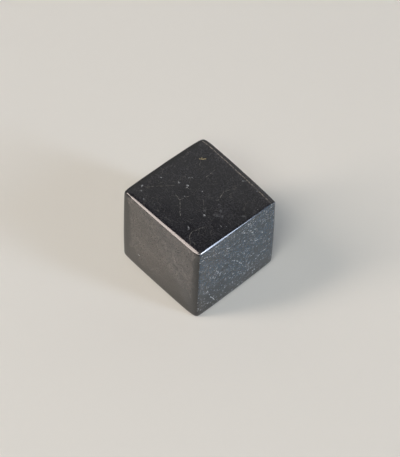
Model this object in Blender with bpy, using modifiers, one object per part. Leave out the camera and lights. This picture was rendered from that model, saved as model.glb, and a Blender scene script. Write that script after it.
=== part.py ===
"""A polished shungite cube: one block of black, carbon-rich stone, about 4 cm each way.

The block is made the way a lapidary makes it. It is sawn from rough stone with six cuts,
its edges are ground round by hand, and then it is polished. The hand work is modelled:
the three sizes differ a little, every face but the base leans by a fraction of a degree,
each edge has a radius of its own, and a few small flakes are missing from the edges.

Units are metres, +Z is up, and the base is the flat face on z = 0. Seen from the front,
which is the -Y side, the right face is on +X.
"""
import math

import bmesh
import bpy
from mathutils import Matrix, Vector

MM = 0.001

# Driving dimensions, in millimetres.
WIDTH = 40.4        # left to right, along X
DEPTH = 39.8        # front to back, along Y
HEIGHT = 39.2       # base to top, along Z
SAW_ALLOWANCE = 4.0  # rough stone left around the finished block, on every side

# Outward direction of each face, and how far it leans toward +X, +Y and +Z, in degrees.
# The base is the reference face, ground flat, so it doesn't lean.
FACES = {
    "base": (Vector((0, 0, -1)), (0.0, 0.0, 0.0)),
    "top": (Vector((0, 0, 1)), (-0.06, 0.55, 0.0)),
    "front": (Vector((0, -1, 0)), (0.63, 0.0, 0.46)),
    "back": (Vector((0, 1, 0)), (0.55, 0.0, 0.77)),
    "left": (Vector((-1, 0, 0)), (0.0, 0.66, -0.36)),
    "right": (Vector((1, 0, 0)), (0.0, 0.77, -0.38)),
}

# Radius of each ground edge, in millimetres, named by the two faces that meet there.
EDGE_RADII = {
    ("top", "front"): 1.9,
    ("top", "right"): 1.3,
    ("top", "back"): 2.2,
    ("top", "left"): 2.0,
    ("front", "right"): 1.8,
    ("right", "back"): 1.2,
    ("back", "left"): 1.8,
    ("left", "front"): 1.8,
    ("base", "front"): 1.4,
    ("base", "right"): 1.3,
    ("base", "back"): 1.5,
    ("base", "left"): 1.6,
}
LARGEST_RADIUS = max(EDGE_RADII.values())
EDGE_SEGMENTS = 6      # flats around each quarter turn of an edge
SHARP_ANGLE = 20.0     # degrees; a flake's rim is sharper than this, an edge's flats are not

# Flakes lost from the edges, in millimetres: the two faces that meet there, the flake's
# place along the edge from its middle (toward +X, +Y or +Z), its place around the edge from
# the middle of the rounding (toward the second face), its width and its depth.
FLAKES = {
    "flake_top": (("top", "back"), 5.8, -2.6, 1.3, 0.16),
    "flake_corner": (("front", "right"), 15.3, 0.2, 1.0, 0.16),
    "flake_side": (("right", "back"), 7.2, -0.4, 1.1, 0.16),
}

STONE_COLOUR = (0.0116, 0.0116, 0.0123, 1.0)  # near-black grey, as linear light
STONE_ROUGHNESS = 0.14
STONE_IOR = 1.65


def clear_scene():
    """Remove every object of the scene the script starts in."""
    for item in list(bpy.data.objects):
        bpy.data.objects.remove(item, do_unlink=True)


def new_collection(name):
    """Make a collection and link it to the scene."""
    collection = bpy.data.collections.new(name)
    bpy.context.scene.collection.children.link(collection)
    return collection


def stone_material():
    """Black stone polished to a gloss."""
    material = bpy.data.materials.new("polished_shungite")
    material.use_nodes = True
    shader = material.node_tree.nodes["Principled BSDF"]
    shader.inputs["Base Color"].default_value = STONE_COLOUR
    shader.inputs["Roughness"].default_value = STONE_ROUGHNESS
    shader.inputs["Metallic"].default_value = 0.0
    shader.inputs["IOR"].default_value = STONE_IOR
    material.diffuse_color = STONE_COLOUR
    return material


def face_plane(name):
    """A point on a face's saw cut, in metres, and the cut's outward normal."""
    outward, lean = FACES[name]
    tilt = Vector([math.tan(math.radians(angle)) for angle in lean])
    normal = (outward + tilt).normalized()
    middle = Vector((0, 0, HEIGHT / 2))
    reach = Vector((WIDTH / 2, DEPTH / 2, HEIGHT / 2))
    point = middle + Vector([outward[axis] * reach[axis] for axis in range(3)])
    return point * MM, normal


def edge_line(pair):
    """The sharp edge where two faces meet: its point nearest the middle, and its direction."""
    (point_a, normal_a), (point_b, normal_b) = face_plane(pair[0]), face_plane(pair[1])
    along = normal_a.cross(normal_b).normalized()
    if sum(along) < 0:
        along.negate()
    middle = Vector((0, 0, HEIGHT / 2)) * MM
    rows = Matrix((normal_a, normal_b, along))
    reach = Vector((normal_a.dot(point_a), normal_b.dot(point_b), along.dot(middle)))
    return rows.inverted() @ reach, along


def saw_block():
    """Cut a rough cube of stone with the six face planes, and mark each edge's radius."""
    bm = bmesh.new()
    rough = max(WIDTH, DEPTH, HEIGHT) + 2 * SAW_ALLOWANCE
    place = Matrix.Translation((0, 0, HEIGHT / 2 * MM))
    bmesh.ops.create_cube(bm, size=rough * MM, matrix=place)
    for name in FACES:
        point, normal = face_plane(name)
        everything = bm.verts[:] + bm.edges[:] + bm.faces[:]
        cut = bmesh.ops.bisect_plane(bm, geom=everything, plane_co=point, plane_no=normal,
                                     clear_outer=True)
        rim = [item for item in cut["geom_cut"] if isinstance(item, bmesh.types.BMEdge)]
        bmesh.ops.contextual_create(bm, geom=rim)
    bmesh.ops.recalc_face_normals(bm, faces=bm.faces[:])

    weight = bm.edges.layers.float.new("bevel_weight_edge")
    for edge in bm.edges:
        pair = {nearest_face(face.normal) for face in edge.link_faces}
        radius = next(size for names, size in EDGE_RADII.items() if set(names) == pair)
        edge[weight] = radius / LARGEST_RADIUS

    mesh = bpy.data.meshes.new("shungite_cube")
    bm.to_mesh(mesh)
    bm.free()
    return mesh


def nearest_face(normal):
    """The name of the face whose outward direction is closest to a normal."""
    return max(FACES, key=lambda name: FACES[name][0].dot(normal))


def round_edges(block):
    """Grind every edge to its own radius."""
    bevel = block.modifiers.new("ground_edges", 'BEVEL')
    bevel.limit_method = 'WEIGHT'
    bevel.offset_type = 'OFFSET'
    bevel.width = LARGEST_RADIUS * MM
    bevel.segments = EDGE_SEGMENTS
    bevel.profile = 0.5
    bevel.use_clamp_overlap = False


def edge_skin(pair, along, around):
    """A point on a rounded edge, and the skin's outward direction there.

    The skin is a quarter turn of the edge's radius, and runs on flat over each face.
    """
    radius = EDGE_RADII[pair]
    corner, direction = edge_line(pair)
    first, second = face_plane(pair[0])[1], face_plane(pair[1])[1]
    half_arc = radius * math.pi / 4
    on_arc = max(-half_arc, min(half_arc, around))
    turn = math.pi / 4 + on_arc / radius
    outward = first * math.cos(turn) + second * math.sin(turn)
    onward = second * math.cos(turn) - first * math.sin(turn)
    axis = corner - (first + second) * radius * MM
    point = axis + (direction * along + outward * radius + onward * (around - on_arc)) * MM
    return point, outward


def flake_cutter(name, collection):
    """A ball that takes one shallow, shell-shaped flake off an edge."""
    pair, along, around, width, depth = FLAKES[name]
    skin, outward = edge_skin(pair, along, around)
    ball = (width ** 2 / 4 + depth ** 2) / (2 * depth)
    centre = skin + outward * (ball - depth) * MM

    bm = bmesh.new()
    bmesh.ops.create_icosphere(bm, subdivisions=4, radius=ball * MM,
                               matrix=Matrix.Translation(centre))
    mesh = bpy.data.meshes.new(name)
    bm.to_mesh(mesh)
    bm.free()
    cutter = bpy.data.objects.new(name, mesh)
    cutter.hide_render = True
    cutter.display_type = 'WIRE'
    collection.objects.link(cutter)
    return cutter


def knock_off_flakes(block, cutters):
    """Cut every flake out of the block."""
    for name in FLAKES:
        chip = block.modifiers.new(name, 'BOOLEAN')
        chip.operation = 'DIFFERENCE'
        chip.solver = 'EXACT'
        chip.object = flake_cutter(name, cutters)


def centre_on_base(block, cutters):
    """Shift the stone so that its finished outline is centred on the Z axis."""
    bpy.context.view_layer.update()
    finished = block.evaluated_get(bpy.context.evaluated_depsgraph_get())
    corners = [Vector(corner) for corner in finished.bound_box]
    middle = (min(c.x for c in corners) + max(c.x for c in corners)) / 2
    depth = (min(c.y for c in corners) + max(c.y for c in corners)) / 2
    shift = Matrix.Translation((-middle, -depth, 0))
    for item in [block, *cutters.objects]:
        item.data.transform(shift)


def main():
    clear_scene()
    stone = new_collection("shungite_cube")
    cutters = new_collection("flake_cutters")
    block = bpy.data.objects.new("shungite_cube", saw_block())
    stone.objects.link(block)
    block.data.materials.append(stone_material())
    round_edges(block)
    knock_off_flakes(block, cutters)
    centre_on_base(block, cutters)
    block.data.shade_smooth()
    block.data.set_sharp_from_angle(angle=math.radians(SHARP_ANGLE))


main()
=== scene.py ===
# %% [markdown]
# # A polished shungite cube
#
# Shungite is a black rock that is mostly carbon. A lapidary saws it to a cube, rounds the
# edges on a wheel and polishes it until it looks like black glass with fine pale veins.
#
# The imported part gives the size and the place. This lesson makes the fine surface on it, the
# stone's finish, and a small studio to see it in.

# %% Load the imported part
import math

import bpy
import numpy as np
from mathutils import Matrix, Vector


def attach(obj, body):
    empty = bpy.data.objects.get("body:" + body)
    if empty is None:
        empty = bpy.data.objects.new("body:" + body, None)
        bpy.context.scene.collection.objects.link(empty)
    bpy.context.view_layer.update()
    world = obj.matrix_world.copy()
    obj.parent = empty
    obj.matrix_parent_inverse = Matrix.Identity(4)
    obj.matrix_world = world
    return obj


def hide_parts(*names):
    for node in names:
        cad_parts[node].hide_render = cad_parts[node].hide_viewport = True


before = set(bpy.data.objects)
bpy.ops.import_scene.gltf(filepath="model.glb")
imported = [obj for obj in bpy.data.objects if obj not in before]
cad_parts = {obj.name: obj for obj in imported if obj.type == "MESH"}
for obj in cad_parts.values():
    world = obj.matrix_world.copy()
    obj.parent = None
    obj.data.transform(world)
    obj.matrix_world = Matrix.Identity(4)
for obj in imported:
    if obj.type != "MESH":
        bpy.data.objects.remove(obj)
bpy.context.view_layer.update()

MM = 0.001

# %% [markdown]
# ## Six ground faces, measured
#
# A hand-ground block is never quite square: each face leans by a fraction of a degree. The
# leans could be typed in again, but two lists can drift apart. So the six planes are measured
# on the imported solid: the flat part of a face is by far its largest area near one axis.

# %% Measure the planes of the six faces
stone_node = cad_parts["shungite_cube"]
FACE_AXES = {
    "left": (-1, 0, 0), "right": (1, 0, 0),
    "front": (0, -1, 0), "back": (0, 1, 0),
    "base": (0, 0, -1), "top": (0, 0, 1),
}
FACE_NAMES = list(FACE_AXES)
NEAR_AXIS = math.cos(math.radians(3))


def measure_planes(mesh):
    """Normals and distances of the six faces, in mm.

    A face's normal is the area-weighted mean of the triangles that point within 3 degrees
    of its axis, and its distance is the mean of normal . point over them.
    """
    count = len(mesh.polygons)
    normals, centres, areas = np.empty(count * 3), np.empty(count * 3), np.empty(count)
    mesh.polygons.foreach_get("normal", normals)
    mesh.polygons.foreach_get("center", centres)
    mesh.polygons.foreach_get("area", areas)
    normals, centres = normals.reshape(-1, 3), centres.reshape(-1, 3) / MM
    planes = []
    for axis in FACE_AXES.values():
        flat = normals @ np.array(axis) > NEAR_AXIS
        normal = (normals[flat] * areas[flat, None]).sum(0)
        normal /= np.linalg.norm(normal)
        planes.append([*normal, np.average(centres[flat] @ normal, weights=areas[flat])])
    planes = np.array(planes)
    return planes[:, :3], planes[:, 3]


face_normals, face_distances = measure_planes(stone_node.data)
for name, normal, distance in zip(FACE_NAMES, face_normals, face_distances):
    print(f"{name:6} normal {normal.round(4)} at {distance:.2f} mm")

# %% [markdown]
# ## A skin that rolls over its edges
#
# A wheel doesn't leave an exact quarter circle. On some edges it ground a small bevel first,
# and polishing only softened it. On others it rolled from face to face. A Bevel modifier would
# give every edge the same clean arc, and reflections in black glass would show that at once.
#
# So the block is one smooth function instead: the soft maximum of its planes, which are the
# six faces and a few bevels. Where one plane wins, the skin is flat. Where two are level they
# blend, and a softness in millimetres says how widely.

# %% Say how each edge was ground
EDGES = {
    # the two faces, then in mm or degrees: softness at the edge's low and high end, the
    # bevel's turn from the first face, and what it takes off the edge at the two ends
    ("top", "front"): (0.10, 0.10, 30, 0.46, 0.72),
    ("top", "right"): (0.05, 0.06, 42, 0.52, 0.18),
    ("top", "back"): (0.18, 0.18, 25, 0.78, 0.98),
    ("top", "left"): (0.72, 0.72, 0, 0, 0),
    ("front", "right"): (0.48, 0.44, 20, 0.58, 0.54),
    ("right", "back"): (0.42, 0.42, 0, 0, 0),
    ("back", "left"): (0.78, 0.78, 0, 0, 0),
    ("left", "front"): (0.66, 0.66, 0, 0, 0),
    ("base", "front"): (0.48, 0.48, 0, 0, 0),
    ("base", "right"): (0.43, 0.43, 0, 0, 0),
    ("base", "back"): (0.60, 0.60, 0, 0, 0),
    ("base", "left"): (0.65, 0.65, 0, 0, 0),
}
LEAST_CUT = 0.01       # mm; a cut of nothing at all would have no ratio between its two ends
RIGHT, BACK, BASE, TOP = (FACE_NAMES.index(name) for name in ("right", "back", "base", "top"))
edge_pairs = np.array([[FACE_NAMES.index(name) for name in pair] for pair in EDGES])
edge_values = np.array(list(EDGES.values()))
block_middle = np.array([0.0, 0.0, face_distances[TOP] / 2])
block_half = np.array([face_distances[RIGHT], face_distances[BACK], block_middle[2]])
bevelled = np.flatnonzero(edge_values[:, 2] > 0)
edge_cuts = np.maximum(edge_values[:, 3:], LEAST_CUT)
turns = np.radians(edge_values[bevelled, 2])
bevel_mix = np.zeros((len(bevelled), len(FACE_NAMES)))
bevel_mix[np.arange(len(bevelled)), edge_pairs[bevelled, 0]] = np.cos(turns)
bevel_mix[np.arange(len(bevelled)), edge_pairs[bevelled, 1]] = np.sin(turns)
plane_normals = np.vstack([face_normals, bevel_mix @ face_normals])
print(len(face_normals), "faces and", len(bevelled), "bevels")

# %% [markdown]
# ## Worn faces and bevels
#
# A face isn't quite flat either. It falls by a fifth of a millimetre toward its rim, and hand
# polishing leaves slow waves in it. At one top corner the front and the right face were held
# to the wheel a little longer, and fall away a third of a millimetre more. All of this is too
# small to see as shape, but it bends the reflections.
#
# A bevel needs no plane of its own. The heights over its two faces, mixed in the share that
# the bevel turns between them, plus the cut, are the height over the bevel.

# %% Measure heights over the worn planes
CROWN = 0.20           # mm that a face falls from its middle to its rim
CROWN_LEVEL = 0.6      # share of that fall by which the middle stands over the flat plane
WAVE_HEIGHT = 0.010    # mm, the slow waves that hand polishing leaves in a flat face
WAVE_LENGTH = 11.0     # mm
WAVES = 9              # how many waves are added up
LEAN_CORNER = (20.0, -20.0, 39.0)    # mm, the top corner that was held to the wheel
LEAN_REACH = 20.0      # mm
LEANS = {"top": -0.02, "front": 0.34, "right": 0.31}    # mm that each face falls away there
face_leans = np.array([LEANS.get(name, 0.0) for name in FACE_NAMES])


def polish_waves(points):
    """Slow waves in mm: height * sum(sin(2 pi * place along the wave / length + phase)) / sqrt(waves).

    The directions, lengths and phases are random numbers from a fixed seed.
    """
    rng = np.random.default_rng(7)
    total = np.zeros(len(points))
    for _ in range(WAVES):
        direction = rng.normal(size=3)
        direction *= rng.uniform(0.6, 1.5) / np.linalg.norm(direction)
        phase = rng.uniform(0, 2 * math.pi)
        total += np.sin(points @ direction * 2 * math.pi / WAVE_LENGTH + phase)
    return total * WAVE_HEIGHT / math.sqrt(WAVES)


def along_edges(points, low, high):
    """A value for each edge at each point: low * (high / low)^t, with t from 0 to 1 along it."""
    directions = 1 - np.abs(face_normals).round()[edge_pairs].sum(1)
    share = ((points - block_middle) / block_half @ directions.T + 1) / 2
    return low * (high / low) ** share.clip(0, 1)


def height_over_planes(points):
    """How far each point is outside each worn face and each bevel, in mm.

    Face: normal . point - distance + crown * (r^2 - level) + waves + lean * exp(-(d / reach)^2),
    where r is the distance from the face's middle over half its width, and d the distance from
    the held corner. Bevel: the heights of its two faces times cosine and sine of its turn, plus
    the cut. The base stays a true plane to stand on.
    """
    across = (points - block_middle) / block_half
    spread = (across ** 2).sum(1)[:, None] - (across @ face_normals.T) ** 2
    worn = CROWN * (spread.clip(0, 2) - CROWN_LEVEL) + polish_waves(points)[:, None]
    held = np.exp(-((points - LEAN_CORNER) ** 2).sum(1) / LEAN_REACH ** 2)
    worn += held[:, None] * face_leans
    worn[:, BASE] = 0
    faces = points @ face_normals.T - face_distances + worn
    cuts = along_edges(points, edge_cuts[:, 0], edge_cuts[:, 1])[:, bevelled]
    return np.hstack([faces, faces @ bevel_mix.T + cuts])


middle_heights = height_over_planes(block_middle[None])[0]
print("the block's middle is under the faces by, mm:", -middle_heights[:len(FACE_NAMES)].round(2))

# %% [markdown]
# ## The soft maximum
#
# The height over the whole stone is the largest of these heights, with the corner of that
# largest value rounded off. A log of a sum of exponentials does it: where one height is well
# over the others it alone counts, and where two are level they share. Each ray from the
# block's middle crosses the skin once, and Newton's method walks to that place.

# %% Blend the planes and find the skin
EDGE_REACH = 1.2       # mm over which one edge's softness gives way to its neighbour's
START_SHARE = 0.93     # of the way out to the box, where the search for the skin starts
NEWTON_STEPS = 24


def softness_at(points, heights):
    """The edges' softness in mm, each weighted by how near its two faces both are."""
    nearness = (heights[:, edge_pairs[:, 0]] + heights[:, edge_pairs[:, 1]]) / EDGE_REACH
    weights = np.exp(nearness - nearness.max(1, keepdims=True))
    soft = along_edges(points, edge_values[:, 0], edge_values[:, 1])
    return (weights * soft).sum(1) / weights.sum(1)


def pulls_at(points):
    """How strongly each plane holds the skin at each point: weights that sum to 1.

    weight = exp(height / softness) / sum(exp(height / softness)).
    """
    heights = height_over_planes(points)
    soft = softness_at(points, heights)[:, None]
    parts = np.exp((heights - heights.max(1, keepdims=True)) / soft)
    return parts / parts.sum(1, keepdims=True)


def skin_points(directions):
    """Where rays from the block's middle leave the stone.

    Along each ray, Newton steps find the zero of the soft maximum
    softness * log(sum(exp(height / softness))).
    """
    slopes = directions @ plane_normals.T
    reach = START_SHARE / np.abs(directions / block_half).max(1)
    for _ in range(NEWTON_STEPS):
        points = block_middle + directions * reach[:, None]
        heights = height_over_planes(points)
        soft = softness_at(points, heights)
        peak = heights.max(1)
        parts = np.exp((heights - peak[:, None]) / soft[:, None])
        outside = peak + soft * np.log(parts.sum(1))
        reach -= outside / ((parts * slopes).sum(1) / parts.sum(1))
    return block_middle + directions * reach[:, None]


print("straight to the right the skin is at", skin_points(np.eye(3)[:1])[0].round(2), "mm")

# %% [markdown]
# ## A grid over the whole cube
#
# The surface is a function of two parameters on each of six square grids. The grid lines are
# crowded toward the edges, where the skin turns, and are wide on the flats. Points that two
# or three grids share are one vertex, so the skin is closed with no seam.

# %% Lay out the grid and compute the skin
CELLS = 126            # grid cells along a side, which gives 190,512 triangles in all
CROWDING = 0.86        # 0 spaces the lines evenly; near 1 crowds them at the edges


def grid_lines(cells):
    """Line places from -1 to 1: a blend of an even step and a quarter sine each way."""
    even = np.linspace(-1, 1, cells + 1)
    return (1 - CROWDING) * even + CROWDING * np.sin(even * math.pi / 2)


def cube_grid(cells):
    """Shared lattice points and outward quads of six square grids, and each quad's face.

    A lattice point (i, j, k) has the number i + n j + n^2 k, where n is cells + 1, so a point
    that two grids share has one number in both.
    """
    step = np.arange(cells + 1)
    first, second = np.meshgrid(step, step, indexing="ij")
    quads, owners = [], []
    lattice = (cells + 1) ** np.arange(3)
    for number, axis in enumerate(FACE_AXES.values()):
        normal_axis = int(np.argmax(np.abs(axis)))
        side = cells if sum(axis) > 0 else 0
        across = [(normal_axis + 1) % 3, (normal_axis + 2) % 3]
        key = side * lattice[normal_axis] + first * lattice[across[0]] + second * lattice[across[1]]
        corners = np.stack([key[:-1, :-1], key[1:, :-1], key[1:, 1:], key[:-1, 1:]], -1)
        quads.append((corners if side else corners[..., ::-1]).reshape(-1, 4))
        owners.append(np.full(cells * cells, number))
    quads = np.concatenate(quads)
    used, quads = np.unique(quads, return_inverse=True)
    places = np.stack([used // lattice[k] % (cells + 1) for k in range(3)], -1)
    return places, quads.reshape(-1, 4), np.concatenate(owners)


lattice_places, skin_quads, quad_faces = cube_grid(CELLS)
lattice_spots = grid_lines(CELLS)[lattice_places]
rays = lattice_spots * block_half
rays /= np.linalg.norm(rays, axis=1, keepdims=True)
skin = skin_points(rays)
print(f"skin: {len(skin)} points, {len(skin_quads)} quads, "
      f"box {skin.min(0).round(2)} to {skin.max(0).round(2)} mm")

# %% [markdown]
# ## Flakes off the edges
#
# Shungite breaks like glass: a knock on an edge takes off a shallow, shell-shaped flake. Each
# flake is where a ball dips into the skin. Every point inside the ball is pushed straight in
# until it lies on the ball, so the hollow is round and its rim is crisp.

# %% Push the flakes into the skin
FLAKES = {
    # the two faces, mm along the edge from its middle, mm around it, width, depth
    "flake_top": (("top", "back"), 5.8, -2.6, 1.3, 0.16),
    "flake_corner": (("front", "right"), 15.3, 0.2, 1.0, 0.16),
    "flake_side": (("right", "back"), 7.2, -0.4, 1.1, 0.16),
}


def skin_spot(pair, along, around):
    """The skin's point near a place along and around an edge, and its outward direction.

    The sharp edge's point solves three equations: it lies on both planes and level with the
    middle. A ray leaves the middle toward it, moved inward by |around| mm on one face.
    """
    first, second = (FACE_NAMES.index(name) for name in pair)
    direction = np.cross(face_normals[first], face_normals[second])
    direction *= np.sign(direction.sum())
    rows = np.array([face_normals[first], face_normals[second], direction])
    level = [face_distances[first], face_distances[second], direction @ block_middle]
    inward = face_normals[second] if around < 0 else face_normals[first]
    ray = np.linalg.solve(rows, level) + direction * along - inward * abs(around) - block_middle
    spot = skin_points(ray[None] / np.linalg.norm(ray))
    outward = pulls_at(spot)[0] @ plane_normals
    return spot[0], outward / np.linalg.norm(outward)


def push_flake(points, spot, outward, width, depth):
    """Move the points inside a ball straight in, onto the ball's inner side.

    The ball is as wide as the flake at the skin: radius = (width^2 / 4 + depth^2) / 2 depth.
    """
    radius = (width ** 2 / 4 + depth ** 2) / (2 * depth)
    offset = points - (spot + outward * (radius - depth))
    climb = offset @ outward
    beside = (offset ** 2).sum(1) - climb ** 2
    floor = -np.sqrt((radius ** 2 - beside).clip(0))
    dip = np.where((beside < radius ** 2) & (climb > floor) & (climb < 0), climb - floor, 0)
    return points - dip[:, None] * outward


for name, (pair, along, around, width, depth) in FLAKES.items():
    spot, outward = skin_spot(pair, along, around)
    before = skin
    skin = push_flake(skin, spot, outward, width, depth)
    moved = np.linalg.norm(skin - before, axis=1)
    print(f"{name}: {int((moved > 0).sum())} points, {moved.max():.2f} mm deep, at {spot.round(1)}")

# %% [markdown]
# ## Wear and painted light, written on the skin
#
# Each face was polished on its own, so each kept its own haze of fine scratches, and its own
# share of grains torn out by the wheel. On the right face the haze is tinted blue, which is
# painted cool light. The haze thins near the edges and near one bottom corner, so these are
# darker. A painted highlight runs where the top meets its back bevel.

# %% Say how each face was worn, and where light is painted
FACE_WEAR_AND_PAINTED_LIGHT = {
    # colour of the haze (tinted blue on the right face: painted cool light), share of grains torn out,
    # and how far from its edges the haze thins
    # the right face's blue haze colour is painted cool light, laid over its real haze
    "top": ("#202022", 0.34, 0.7), "front": ("#4a4643", 0.20, 1.5), "right": ("#2e404d", 1.00, 0.4),
    "back": ("#3a3938", 0.35, 1.0), "left": ("#3c3b39", 0.22, 1.0), "base": ("#4a4947", 0.40, 1.0),
}
CLEAR_FROM, CLEAR_BY = 6.0, 2.0      # an edge comes clear between these times its softness
HAZE_FOOT = (-6.0, 15.0)             # mm above the base, between which the haze comes in
HAZE_THIN_CORNER = (17.0, -20.0, 0.0)  # mm, the bottom corner near which the haze thins the most
HAZE_THIN_REACH = 24.0                 # mm
HAZE_KEPT_AT_CORNER = 0.1                   # share of its haze that is kept at that corner
SHARE_SHARPNESS = 24                 # how quickly one face's wear gives way to the next one's
CREASE_HIGHLIGHT_WIDTH = 0.07                  # mm, the painted highlight line where the top meets its back bevel
CREASE_HIGHLIGHT_FLOOR = -0.5                  # mm, how far under the top the line can lie


def linear(hex_colour):
    """An sRGB hex colour as linear light with alpha 1."""
    parts = [int(hex_colour[k:k + 2], 16) / 255 for k in (1, 3, 5)]
    return tuple(p / 12.92 if p <= 0.04045 else ((p + 0.055) / 1.055) ** 2.4 for p in parts) + (1,)


def smooth_step(value, low, high):
    """0 below low, 1 above high, and 3t^2 - 2t^3 between, where t goes from 0 to 1."""
    t = ((value - low) / (high - low)).clip(0, 1)
    return t * t * (3 - 2 * t)


for name, (haze_and_cool_light_hex, torn_part, _) in FACE_WEAR_AND_PAINTED_LIGHT.items():
    print(f"{name:6} haze {haze_and_cool_light_hex}, {torn_part:.0%} of the most torn face's loss")

# %% [markdown]
# ## The wear and painted light of every point
#
# These belong to places on the skin, the painted light as much as the wear, so they are
# computed for its points and stored with them. How much a point belongs to a face is how
# squarely it faces that face's way. How near it is to an edge is its depth under the second
# highest plane. The finish reads the results later, as attributes.

# %% Work out the wear and painted light of every point
outward = pulls_at(skin) @ plane_normals
outward /= np.linalg.norm(outward, axis=1, keepdims=True)
facing = (outward @ face_normals.T).clip(0, 1)
over = height_over_planes(skin)
edge_distance = -np.sort(over[:, :len(FACE_NAMES)], axis=1)[:, -2]
shares = facing ** SHARE_SHARPNESS
shares /= shares.sum(1, keepdims=True)
reach = shares @ np.array([FACE_WEAR_AND_PAINTED_LIGHT[name][2] for name in FACE_NAMES]) * softness_at(skin, over)
# the haze thins near the edges, near one bottom corner and toward the base, so these are darker
edge_haze_thinning = 1 - smooth_step(edge_distance / reach, CLEAR_BY, CLEAR_FROM)
# on the right face this colour carries painted cool light: its haze is tinted blue
haze_and_cool_light = shares @ np.array([linear(FACE_WEAR_AND_PAINTED_LIGHT[name][0]) for name in FACE_NAMES])
foot = smooth_step(skin[:, 2], *HAZE_FOOT)
corner_haze_kept = smooth_step(np.linalg.norm(skin - HAZE_THIN_CORNER, axis=1), 0, HAZE_THIN_REACH)
corner_haze_kept = HAZE_KEPT_AT_CORNER + (1 - HAZE_KEPT_AT_CORNER) * corner_haze_kept
haze_and_cool_light[:, :3] *= ((1 - edge_haze_thinning) * foot * corner_haze_kept)[:, None]
torn = shares @ np.array([FACE_WEAR_AND_PAINTED_LIGHT[name][1] for name in FACE_NAMES])
back_bevel = len(face_normals) + list(bevelled).index(list(EDGES).index(("top", "back")))
# a painted highlight: a pale line where the top meets its back bevel
crease_highlight = np.exp(-((over[:, TOP] - over[:, back_bevel]) / CREASE_HIGHLIGHT_WIDTH) ** 2)
crease_highlight *= over[:, TOP] > CREASE_HIGHLIGHT_FLOOR
print(f"haze up to {haze_and_cool_light[:, :3].max():.3f}, torn share {torn.mean():.2f}, "
      f"points on the crease {int((crease_highlight > 0.5).sum())}")

# %% [markdown]
# ## The mesh and its map
#
# The arrays go into a mesh in one call each. The mesh also gets a flat map with one cell for
# each face, for anything that later paints or bakes on it.

# %% Build the stone's mesh
MAP_COLUMNS, MAP_ROWS = 3, 2
MAP_MARGIN = 0.012


def map_corners(spots, quads, owners):
    """Flat map places of every quad corner: one cell of a 3 by 2 sheet for each face."""
    axes = np.array([np.argmax(np.abs(axis)) for axis in FACE_AXES.values()])[owners]
    corner_spots = spots[quads]
    rows = np.arange(len(quads))[:, None]
    columns = np.arange(4)[None]
    u = corner_spots[rows, columns, ((axes + 1) % 3)[:, None]]
    v = corner_spots[rows, columns, ((axes + 2) % 3)[:, None]]
    inside = (np.stack([u, v], -1) + 1) / 2 * (1 - 2 * MAP_MARGIN) + MAP_MARGIN
    cell = np.stack([owners % MAP_COLUMNS, owners // MAP_COLUMNS], -1)[:, None]
    return (inside + cell) / [MAP_COLUMNS, MAP_ROWS]


stone_mesh = bpy.data.meshes.new("shungite_stone")
stone_mesh.from_pydata(skin * MM, [], skin_quads)
stone_mesh.shade_smooth()
flat_map = stone_mesh.uv_layers.new(name="OFBake")
flat_map.uv.foreach_set("vector", map_corners(lattice_spots, skin_quads, quad_faces).ravel())
stone_mesh.attributes.new("haze_and_cool_light", 'FLOAT_COLOR', 'POINT').data.foreach_set("color", haze_and_cool_light.ravel())
for name, values in {"torn": torn, "crease_highlight": crease_highlight, "clear": edge_haze_thinning}.items():
    stone_mesh.attributes.new(name, 'FLOAT', 'POINT').data.foreach_set("value", values)
stone = bpy.data.objects.new("shungite_stone", stone_mesh)
bpy.context.scene.collection.objects.link(stone)
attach(stone, "root")
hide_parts("shungite_cube")
print("stone:", len(stone_mesh.polygons) * 2, "triangles")

# %% [markdown]
# ## The finish: black glass with a memory of rock
#
# The stone is shungite, sawn, ground and polished by hand. Its carbon takes almost all the
# light that enters it, so what the eye sees is a thin haze and the reflection. The reflection
# is that of a fairly dense glass, with an index of about 1.65. The polish is good but not
# perfect. Every pattern below reads Object coordinates in millimetres, so it stays in the
# stone, as a pattern in rock does.

# %% Start the stone's material
shungite = bpy.data.materials.new("polished_shungite")
shungite.use_nodes = True
tree = shungite.node_tree
tree.nodes.clear()


def add(kind, inputs, out=0, **settings):
    """Add a node, fill or link its sockets, and return one of its output sockets."""
    node = tree.nodes.new("ShaderNode" + kind)
    for name, value in settings.items():
        setattr(node, name, value)
    for name, value in inputs.items():
        if isinstance(value, bpy.types.NodeSocket):
            tree.links.new(value, node.inputs[name])
        else:
            node.inputs[name].default_value = value
    return node.outputs[out] if len(node.outputs) else None


place = add("TexCoord", {}, out="Object")
place_mm = add("VectorMath", {0: place, "Scale": 1 / MM}, operation='SCALE')
haze_and_cool_light_colour = add("Attribute", {}, out="Color", attribute_name="haze_and_cool_light")
torn_share = add("Attribute", {}, out="Fac", attribute_name="torn")
crease_highlight_mask = add("Attribute", {}, out="Fac", attribute_name="crease_highlight")
edge_clear = add("Attribute", {}, out="Fac", attribute_name="clear")
print("material:", shungite.name)

# %% [markdown]
# ## Cloudy haze
#
# The haze isn't even. It gathers in clouds a few millimetres across, and in a grain that is
# just at the edge of what the eye can see. Both multiply the haze that the skin carries, and
# the black of the stone is added under it.

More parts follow.
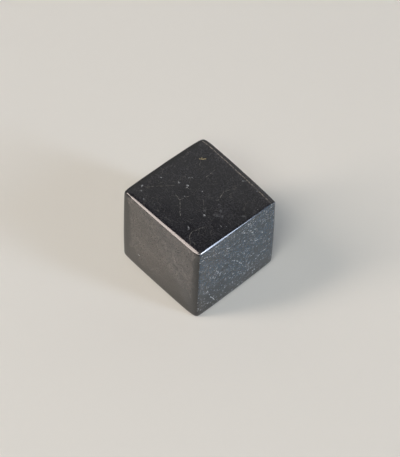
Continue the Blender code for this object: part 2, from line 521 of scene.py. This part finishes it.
# %% Cloud the haze
CLOUD_SCALE, CLOUD_STRENGTH = 0.22, 0.34     # clouds per mm, and how far they thin the haze
GRAIN_SCALE, GRAIN_STRENGTH = 1.6, 5.0       # grains per mm, and the haze's change with them
STONE_BLACK = "#0d0d0e"
clouds = add("TexNoise", {"Vector": place_mm, "Scale": CLOUD_SCALE, "Detail": 4.0, "Roughness": 0.6})
grain = add("TexNoise", {"Vector": place_mm, "Scale": GRAIN_SCALE, "Detail": 3.0, "Roughness": 0.7})
cloudy = add("MapRange", {"Value": clouds, "From Min": 0.3, "From Max": 0.7,
                          "To Min": 1 - CLOUD_STRENGTH, "To Max": 1 + CLOUD_STRENGTH})
grain_offset = add("Math", {0: grain, 1: 0.5}, operation='SUBTRACT')
grainy = add("Math", {0: grain_offset, 1: GRAIN_STRENGTH, 2: 1.0}, operation='MULTIPLY_ADD')
grainy = add("Math", {0: grainy, 1: 0.0}, operation='MAXIMUM')
haze_share = add("Math", {0: cloudy, 1: grainy}, operation='MULTIPLY')
# the haze colour carries the right face's painted cool light
hazy_with_cool_light = add("VectorMath", {0: haze_and_cool_light_colour, "Scale": haze_share}, operation='SCALE')
ground = add("VectorMath", {0: hazy_with_cool_light, 1: linear(STONE_BLACK)[:3]}, operation='ADD')
print(f"clouds {1 / CLOUD_SCALE:.1f} mm and grain {1 / GRAIN_SCALE:.1f} mm across")

# %% [markdown]
# ## Veins
#
# Cracks in the rock healed with quartz and now show as fine pale lines. Two kinds are made.
# A Voronoi pattern's cell borders give a net of hairlines, bent by noise and broken up, so
# that only scraps of it show. The few veins that a person would notice are listed one by one,
# as lines through named points, because no noise puts a fork in the right place. Real
# hairlines are too fine for a camera a metre away to see; these are drawn as coarse as they
# need to be to show.

# %% Draw the hairline net
HAIRLINES = {
    # cells per mm, line width as a share of a cell, noise under which the net is hidden, strength
    "coarse": (0.13, 0.014, 0.56, 0.30),
    "fine": (0.36, 0.030, 0.56, 0.26),
}
NET_BEND = 7.0         # mm of noise in the net
PATCH_EDGE = 0.08      # of noise, over which a scrap of the net fades
PATCH_COUNT = 2.1      # scraps for each cell of the net


def stir(point, scale, detail, reach):
    """A point moved by noise: point + reach * (noise - 0.5), in mm."""
    noise = add("TexNoise", {"Vector": place_mm, "Scale": scale, "Detail": detail}, out="Color")
    offset = add("VectorMath", {0: noise, 1: (0.5, 0.5, 0.5)}, operation='SUBTRACT')
    offset = add("VectorMath", {0: offset, "Scale": reach}, operation='SCALE')
    return add("VectorMath", {0: point, 1: offset}, operation='ADD')


def brightest(masks):
    """The larger of several masks at each point."""
    result = masks[0]
    for mask in masks[1:]:
        result = add("Math", {0: result, 1: mask}, operation='MAXIMUM')
    return result


bent = stir(place_mm, CLOUD_SCALE, 4.0, NET_BEND)
hairlines = []
for name, (scale, width, threshold, strength) in HAIRLINES.items():
    border = add("TexVoronoi", {"Vector": bent, "Scale": scale}, feature='DISTANCE_TO_EDGE')
    line = add("MapRange", {"Value": border, "From Max": width, "To Min": strength, "To Max": 0.0},
               interpolation_type='SMOOTHSTEP')
    patch = add("TexNoise", {"Vector": place_mm, "Scale": scale * PATCH_COUNT, "Detail": 3.0})
    shown = add("MapRange", {"Value": patch, "From Min": threshold - PATCH_EDGE,
                             "From Max": threshold + PATCH_EDGE})
    hairlines.append(add("Math", {0: line, 1: shown}, operation='MULTIPLY'))
    print(f"{name} net: cells {1 / scale:.1f} mm across, lines {2 * width / scale:.2f} mm wide")
hairline_mask = brightest(hairlines)

# %% [markdown]
# ## Marks placed one by one
#
# A mark is a line through named points on one face, a half width and a strength. Long, narrow
# ones are veins and streaks, and short, wide ones are single grains.

# %% List the marks
MARKS = {
    # face, half width in mm, strength, and the lines: x, y on the top, or y, z on the right
    "veins": ("top", 0.22, 0.70, [
        [(-5.9, -6.9), (-3.2, -7.3), (-0.7, -9.4), (2.3, -12.1)], [(-3.2, -7.1), (-2.2, -3.9)],
        [(-5.1, 11.8), (-4.6, 8.9), (-4.6, 7.0)], [(5.5, 2.4), (6.2, 3.1), (4.7, 7.2), (5.2, 9.0)],
        [(11.9, -8.6), (11.0, -11.6), (10.4, -13.4), (11.2, -15.5), (14.5, -18.1), (15.6, -20.4)]]),
    "faint_veins": ("top", 0.24, 0.34, [
        [(-2.7, 4.7), (-1.5, 5.2), (0.2, 7.5)], [(5.2, 9.0), (6.5, 12.7)],
        [(0.8, -2.3), (2.1, -1.0), (3.1, -1.2), (5.6, -3.7)], [(-11.8, 10.8), (-10.0, 8.6)],
        [(-16.0, -12.9), (-9.3, -4.3)], [(-17.0, 0.4), (-16.7, 1.5)], [(-15.7, 1.3), (-16.0, 2.3)]]),
    "top_grains": ("top", 0.42, 0.44, [
        [(-6.2, -0.8), (-5.8, -0.7)], [(-12.2, -16.7), (-11.8, -16.8)], [(-15.8, -15.0), (-15.4, -14.9)],
        [(7.8, -13.0), (8.8, -13.7)], [(5.6, 16.0), (6.1, 16.8)]]),
    "top_blots": ("top", 0.90, 0.09, [
        [(8.0, 1.8), (8.5, 1.7)], [(10.0, 0.5), (10.5, 0.6)], [(10.2, -2.4), (12.5, -0.7)],
        [(6.0, -2.9), (6.9, -4.8)], [(17.3, 5.0), (17.8, 5.3)]]),
    "right_streaks": ("right", 0.26, 0.75, [
        [(-13.7, 34.1), (-10.6, 32.7), (-7.2, 31.4)], [(-2.6, 21.6), (-0.2, 19.4)],
        [(-0.2, 19.4), (2.3, 15.7), (3.4, 13.2)], [(4.0, 11.8), (6.4, 10.0)],
        [(9.2, 23.3), (11.9, 21.9)], [(15.6, 20.5), (17.6, 20.9)], [(-10.2, 22.4), (-8.1, 18.2)]]),
    "right_grains": ("right", 0.42, 0.85, [
        [(-2.2, 21.3), (-0.8, 20.0)], [(-5.2, 31.7), (-3.6, 30.3)], [(-0.8, 10.7), (-0.6, 10.2)],
        [(5.2, 32.9), (6.8, 31.6)], [(7.4, 30.0), (8.2, 28.2)], [(-15.9, 35.4), (-14.6, 34.8)],
        [(11.7, 27.1), (12.8, 24.9)], [(-12.4, 8.0), (-10.3, 4.1)], [(10.1, 10.8), (12.0, 11.9)],
        [(13.0, 12.9), (15.1, 12.2)], [(-5.9, 23.4), (-4.5, 22.4)], [(2.4, 34.0), (5.0, 31.8)]]),
}
print("marks:", {name: len(mark[3]) for name, mark in MARKS.items()})

# %% [markdown]
# ## From points to lines
#
# A shader has no lines, but it can measure. For each stretch between two points a few nodes
# find the nearest place on it and how far off that is, and the mark fades with that distance.
# A little noise shakes the line, and another noise breaks it into beads, because no vein in
# stone is ruled.

# %% Draw the marks
NEAR_FACE = (3.0, 1.0)               # mm below a face, between which its marks fade in
SHAKE_SCALE, SHAKE = 0.9, 0.9        # bends per mm in a line's path, and their size in mm
BEAD_SCALE, BEAD_GAP = 1.15, 0.15    # beads per mm, and what is left of a mark between them


def distance_to_lines(point, lines):
    """Distance in mm from a point to the nearest of some lines through named points.

    For each stretch from a to b, t = (p - a) . (b - a) / |b - a|^2 kept within 0 to 1, and
    the distance is |p - a - t (b - a)|.
    """
    nearest = None
    for points in lines:
        for start, end in zip(points, points[1:]):
            span = end - start
            offset = add("VectorMath", {0: point, 1: start}, operation='SUBTRACT')
            share = add("VectorMath", {0: offset, 1: span / span.length_squared}, out="Value",
                        operation='DOT_PRODUCT')
            share = add("Clamp", {"Value": share})
            along = add("VectorMath", {0: tuple(span), "Scale": share}, operation='SCALE')
            reach = add("VectorMath", {0: offset, 1: along}, out="Value", operation='DISTANCE')
            nearest = reach if nearest is None else add(
                "Math", {0: nearest, 1: reach}, operation='MINIMUM')
    return nearest


shaken = stir(place_mm, SHAKE_SCALE, 3.0, SHAKE)
beads = add("TexNoise", {"Vector": place_mm, "Scale": BEAD_SCALE, "Detail": 1.0})
beads = add("MapRange", {"Value": beads, "From Min": 0.42, "From Max": 0.58, "To Min": BEAD_GAP})
FACE_PLACE = {
    # axes kept, socket of the height over the face, where the face is, and 2-D point to 3-D
    "top": ((1, 1, 0), "Z", face_distances[TOP], lambda x, y: Vector((x, y, 0))),
    "right": ((0, 1, 1), "X", face_distances[RIGHT], lambda y, z: Vector((0, y, z))),
}


def mark_mask(face, half_width, strength, lines, broken=True):
    """A mark's strength over the stone: full on its line, 0 beyond its half width.

    Between them it falls as 1 - 3t^2 + 2t^3, where t is the distance over the half width.
    """
    kept, axis, level, to_3d = FACE_PLACE[face]
    flat = add("VectorMath", {0: shaken, 1: kept}, operation='MULTIPLY')
    reach = distance_to_lines(flat, [[to_3d(*point) for point in line] for line in lines])
    mask = add("MapRange", {"Value": reach, "From Max": half_width, "To Min": strength, "To Max": 0.0},
               interpolation_type='SMOOTHSTEP')
    height = add("SeparateXYZ", {0: place_mm}, out=axis)
    near = add("MapRange", {"Value": height, "From Min": level - NEAR_FACE[0],
                            "From Max": level - NEAR_FACE[1]})
    mask = add("Math", {0: mask, 1: near}, operation='MULTIPLY')
    return add("Math", {0: mask, 1: beads}, operation='MULTIPLY') if broken else mask


masks = {name: mark_mask(*mark) for name, mark in MARKS.items()}
vein_mask = brightest([hairline_mask, masks["veins"], masks["faint_veins"]])
print("nodes so far:", len(tree.nodes))

# %% [markdown]
# ## Torn grains
#
# Where the wheel tore quartz grains out, small whitish pits are left. The rock was laid down
# in beds, so the pits lie in level streaks. Each layer is a Voronoi pattern, in which every
# cell holds one dot. A random number for each cell decides whether the dot shows, and a
# second one how large and how bright it is. Noise makes the dots ragged, because a crumb is
# never round. The real pits are about a tenth of a millimetre; they are drawn coarser, so
# that a camera a metre away can see them.

# %% Scatter the specks
SPECKS = {
    # cells per mm, the largest dot's radius as a share of a cell, share of cells shown at most,
    # strength
    "dust": (1.45, 0.66, 1.00, 0.90),
    "grains": (0.85, 0.484, 0.80, 0.95),
    "stars": (0.42, 0.242, 0.24, 1.00),
}
BED_STREAKS = (0.16, 0.16, 0.55)     # streaks per mm along X, Y and Z
BARE_STREAK, RICH_STREAK = 0.38, 0.56    # noise where a streak is at its barest and fullest
BARE_SHARE = 0.15                    # share of its dots that the barest streak keeps
TORN_POWER = 4.0                     # keeps the dots to the faces that lost many grains
CRUMB_SCALE, CRUMB_REACH = 2.4, 1.3  # bumps per mm in a dot's outline, and their size in mm
DOT_STRETCH = (0.9, 0.9, 1.1)        # makes the dots a little wider than they are high
bedding = add("Mapping", {"Vector": place_mm, "Scale": BED_STREAKS})
streaks = add("TexNoise", {"Vector": bedding, "Scale": 1.0, "Detail": 3.0})
richness = add("MapRange", {"Value": streaks, "From Min": BARE_STREAK, "From Max": RICH_STREAK,
                            "To Min": BARE_SHARE})
torn_more = add("Math", {0: torn_share, 1: TORN_POWER}, operation='POWER')
richness = add("Math", {0: richness, 1: torn_more}, operation='MULTIPLY')
ragged = stir(shaken, CRUMB_SCALE, 2.0, CRUMB_REACH)
flattened = add("VectorMath", {0: ragged, 1: DOT_STRETCH}, operation='MULTIPLY')
layers = []
for name, (scale, size, share, strength) in SPECKS.items():
    cells = add("TexVoronoi", {"Vector": flattened, "Scale": scale})
    chance = add("SeparateColor", {0: cells.node.outputs["Color"]}, out="Red")
    limit = add("Math", {0: richness, 1: share}, operation='MULTIPLY')
    chosen = add("Math", {0: chance, 1: limit}, operation='LESS_THAN')
    vigour = add("SeparateColor", {0: cells.node.outputs["Color"]}, out="Green")
    radius = add("Math", {0: vigour, 1: size}, operation='MULTIPLY')
    dot = add("MapRange", {"Value": cells, "From Max": radius, "To Min": strength, "To Max": 0.0},
              interpolation_type='SMOOTHSTEP')
    dot = add("Math", {0: dot, 1: chosen}, operation='MULTIPLY')
    layers.append(add("Math", {0: dot, 1: vigour}, operation='MULTIPLY'))
    print(f"{name}: cells {1 / scale:.1f} mm across, dots up to {2 * size / scale:.1f} mm wide")
pits = brightest(layers)
placed_pits = [masks[name] for name in ("top_grains", "top_blots", "right_streaks", "right_grains")]
speck_mask = brightest([pits] + placed_pits)

# %% [markdown]
# ## Fool's gold
#
# One small flake of pyrite shows near the back corner of the top. Pyrite is a brassy metal,
# but a flake this small, polished flat with the stone, mirrors the same dim room as the rest.
# So it is only coloured, a dull brass under the common polish.

# %% Place the pyrite
PYRITE = ("top", 0.20, 2.0, [    # twice full strength, cut at full, so that its edge is crisp
    [(-12.6, 10.8), (-11.9, 11.4), (-11.0, 12.5)], [(-11.9, 11.4), (-12.3, 11.8)]])
pyrite = add("Clamp", {"Value": mark_mask(*PYRITE, broken=False)})
print("pyrite at", PYRITE[3][0][0], "mm")

# %% [markdown]
# ## Layers of colour
#
# The colours go on from the bottom up, each with its own mask: the hazy black stone (with
# painted cool light on the right face), the veins, the torn grains, a painted highlight where
# the top meets its back bevel, and the pyrite.

# %% Lay the colours over each other
LAYERS = {
    # the mask and the colour of what lies there
    "healed veins": (vein_mask, "#7d7b74"),
    "torn quartz grains": (speck_mask, "#d4d9db"),
    # a painted highlight on the line where the top meets its back bevel
    "crease_highlight": (add("Math", {0: crease_highlight_mask, 1: beads}, operation='MULTIPLY'), "#9c9384"),
    "pyrite": (pyrite, "#a99b72"),
}
stone_colour = ground
for name, (mask, colour) in LAYERS.items():
    # a colour Mix node has its two colours at inputs 6 and 7 and its result at output 2
    stone_colour = add("Mix", {0: mask, 6: stone_colour, 7: linear(colour)}, out=2, data_type='RGBA')
    print("laid on:", name)

# %% [markdown]
# ## Gloss
#
# Good black polish is smooth enough to mirror a window, but the picture in it is soft. The
# haze's clouds are a little rougher, veins and torn grains are much rougher, and the edges,
# where the haze thins, are the smoothest. The pits and the grain are shallow, a hundredth of a
# millimetre and less, so a bump is all they need.

# %% Polish the stone
STONE_IOR = 1.65
POLISH = (0.11, 0.17)      # roughness between the clouds and in them
MINERAL_ROUGHER = 0.25     # added on veins and torn grains
EDGE_SMOOTHER = 0.04       # taken off near the edges, where the haze thins
PIT_DEPTH = 0.012          # mm
GRAIN_DEPTH = 0.0012       # mm
soft_minerals = add("Math", {0: vein_mask, 1: speck_mask}, operation='MAXIMUM')
roughness = add("MapRange", {"Value": clouds, "From Min": 0.3, "From Max": 0.7,
                             "To Min": POLISH[0], "To Max": POLISH[1]})
roughness = add("Math", {0: soft_minerals, 1: MINERAL_ROUGHER, 2: roughness}, operation='MULTIPLY_ADD')
roughness = add("Math", {0: edge_clear, 1: -EDGE_SMOOTHER, 2: roughness}, operation='MULTIPLY_ADD')
relief = add("Math", {0: pits, 1: -PIT_DEPTH}, operation='MULTIPLY')
relief = add("Math", {0: grain, 1: GRAIN_DEPTH, 2: relief}, operation='MULTIPLY_ADD')
bump = add("Bump", {"Height": relief, "Distance": MM, "Strength": 1.0})
shader = add("BsdfPrincipled", {"Base Color": stone_colour, "Roughness": roughness,
                                "IOR": STONE_IOR, "Normal": bump})
add("OutputMaterial", {"Surface": shader})
stone_mesh.materials.append(shungite)
print("nodes in the stone's material:", len(tree.nodes))

# %% [markdown]
# ## A plain table
#
# A wide sheet of warm pale card, matt, with hardly any gloss. It runs far past the view, so
# that its end never shows.

# %% Lay the floor
FLOOR_HALF = 6.0       # metres
FLOOR_COLOUR = "#e2e1d8"
floor_mesh = bpy.data.meshes.new("floor")
floor_corners = np.array([(-1, -1, 0), (1, -1, 0), (1, 1, 0), (-1, 1, 0)]) * FLOOR_HALF
floor_mesh.from_pydata(floor_corners, [], [(0, 1, 2, 3)])
floor = bpy.data.objects.new("floor", floor_mesh)
bpy.context.scene.collection.objects.link(floor)
card = bpy.data.materials.new("pale_card")
card.use_nodes = True
card_shader = card.node_tree.nodes["Principled BSDF"]
card_shader.inputs["Base Color"].default_value = linear(FLOOR_COLOUR)
card_shader.inputs["Roughness"].default_value = 0.85
card_shader.inputs["Specular IOR Level"].default_value = 0.1
floor_mesh.materials.append(card)
print(f"floor: {2 * FLOOR_HALF:.0f} m wide")

# %% [markdown]
# ## Light
#
# Black glass shows its lights twice: as brightness on the table, and as lines where its edges
# mirror them. Three soft lights light the scene. The main one is high on the viewer's side, a
# warm window on the left draws the long line on the top front edge, and a small cool window
# low on the right draws the thin line on the top right edge.
#
# The skin turns near its corners, so there the edges mirror places beside those windows. In a
# studio, pale cards would be held there, so that the lines run on into the corners. Here three
# more area lights do it. They are hidden from diffuse surfaces, so they show in the polish but
# leave the table as bright as it was.

# %% Hang the lights
LIGHT_DISTANCE = 4.0       # metres
LIGHTS = {
    # in degrees: azimuth from +X toward +Y, elevation, half width, half height and tilt;
    # then radiance, colour, and whether it lights the scene (True) or is only mirrored (False)
    "main_softbox": (299.5, 58.0, 13.8, 13.8, 0, 6.1, "#fffdfb", True),
    "warm_strip": (237.0, 38.0, 6.5, 20.0, 20, 10.0, "#ffefe6", True),
    "cool_strip": (25.0, 27.0, 4.5, 13.0, 0, 14.3, "#d5e4ff", True),
    "left_card": (219.0, 34.0, 7.0, 12.0, 20, 10.0, "#ffefe6", False),
    "middle_card": (255.0, 43.0, 8.0, 10.0, 20, 10.0, "#ffefe6", False),
    "right_card": (11.5, 33.0, 9.0, 9.0, 0, 34.0, "#f6f8ff", False),
}
aim = Vector(block_middle * MM)


def direction_of(azimuth, elevation):
    """The unit vector at an azimuth and elevation in degrees."""
    a, e = math.radians(azimuth), math.radians(elevation)
    return Vector((math.cos(a) * math.cos(e), math.sin(a) * math.cos(e), math.sin(e)))


for name, (azimuth, elevation, half_width, half_height, tilt, radiance, colour, lights) in LIGHTS.items():
    data = bpy.data.lights.new(name, 'AREA')
    data.shape = 'RECTANGLE'
    data.size = 2 * LIGHT_DISTANCE * math.tan(math.radians(half_width))
    data.size_y = 2 * LIGHT_DISTANCE * math.tan(math.radians(half_height))
    data.energy = radiance * math.pi * data.size * data.size_y    # watts = radiance * pi * area
    data.color = linear(colour)[:3]
    light = bpy.data.objects.new(name, data)
    outward = direction_of(azimuth, elevation)
    light.matrix_world = (Matrix.Translation(aim + outward * LIGHT_DISTANCE)
                          @ outward.to_track_quat('Z', 'Y').to_matrix().to_4x4()
                          @ Matrix.Rotation(math.radians(tilt), 4, 'Z'))
    light.visible_diffuse = lights
    bpy.context.scene.collection.objects.link(light)
    print(f"{name}: {data.energy:.1f} W, {data.size:.2f} x {data.size_y:.2f} m")

# %% [markdown]
# ## The dark room
#
# A polished top mirrors whatever is above it. Here that is a dim room: nearly black and
# slightly blue overhead, with a grey wall behind the stone on the left. The table colour is
# shown wherever the eye looks past the table's end.

# %% Paint the room
WALL_LIGHT = (0.41, 0.41, 0.405, 1)
ROOM_LIGHT = (0.028, 0.030, 0.047, 1)
TABLE_LIGHT = (0.62, 0.60, 0.55, 1)
WALL_HEADING = (-0.72, 0.69, 0.0)    # the wall stands this way
WALL_SIDES = (0.1, 0.5)              # cosine to that heading, between which the wall comes in
WALL_TOP = (0.795, 0.806)            # height of a direction, between which the wall ends
world = bpy.data.worlds.new("dim_room")
bpy.context.scene.world = world
world.use_nodes = True
tree = world.node_tree
tree.nodes.clear()
look = add("TexCoord", {}, out="Generated")
climb = add("SeparateXYZ", {0: look}, out="Z")
below = add("MapRange", {"Value": climb, "From Min": WALL_TOP[0], "From Max": WALL_TOP[1],
                         "To Min": 1.0, "To Max": 0.0}, interpolation_type='SMOOTHSTEP')
heading = add("VectorMath", {0: look, 1: WALL_HEADING}, out="Value", operation='DOT_PRODUCT')
ahead = add("MapRange", {"Value": heading, "From Min": WALL_SIDES[0], "From Max": WALL_SIDES[1]},
            interpolation_type='SMOOTHSTEP')
wall = add("Math", {0: below, 1: ahead}, operation='MULTIPLY')
room = add("Mix", {0: wall, 6: ROOM_LIGHT, 7: WALL_LIGHT}, out=2, data_type='RGBA')
seen = add("LightPath", {}, out="Is Camera Ray")
room = add("Mix", {0: seen, 6: room, 7: TABLE_LIGHT}, out=2, data_type='RGBA')
background = add("Background", {"Color": room})
add("OutputWorld", {"Surface": background})
print(f"the wall ends {math.degrees(math.asin(WALL_TOP[0])):.0f} degrees up")

# %% [markdown]
# ## The camera
#
# A long lens from about a metre away looks down on one corner, so the edges stay nearly
# parallel.

# %% Set up the camera
VIEW_AZIMUTH = 46.05       # degrees, from -Y toward +X
VIEW_ELEVATION = 53.60     # degrees
VIEW_ROLL = 2.12           # degrees
VIEW_DISTANCE = 1.0315     # metres
SENSOR_WIDTH = 36.0        # mm
FOCAL_PIXELS = 2800.0      # focal length, in pixels of a frame 457 pixels high
FRAME_HEIGHT = 457.0
VIEW_CENTRE = (0.165, -0.258, 19.8)       # mm
AIM_OFFSET = Vector((0.31, -0.56)) * MM   # where the lens points, right and up of the middle
outward = direction_of(VIEW_AZIMUTH - 90, VIEW_ELEVATION)
level = Vector((0, 0, 1)).cross(outward).normalized()
upright = outward.cross(level)
roll = math.radians(VIEW_ROLL)
right = level * math.cos(roll) + upright * math.sin(roll)
up = upright * math.cos(roll) - level * math.sin(roll)
camera_data = bpy.data.cameras.new("camera")
camera_data.sensor_width = SENSOR_WIDTH
camera_data.lens = FOCAL_PIXELS * SENSOR_WIDTH / FRAME_HEIGHT
camera = bpy.data.objects.new("camera", camera_data)
view_middle = Vector(VIEW_CENTRE) * MM + right * AIM_OFFSET.x + up * AIM_OFFSET.y
place = view_middle + outward * VIEW_DISTANCE
camera.matrix_world = Matrix((right, up, outward)).transposed().to_4x4()
camera.matrix_world.translation = place
bpy.context.scene.collection.objects.link(camera)
bpy.context.scene.camera = camera
bpy.context.scene.view_settings.view_transform = 'Standard'
print(f"lens {camera_data.lens:.0f} mm at {place}")
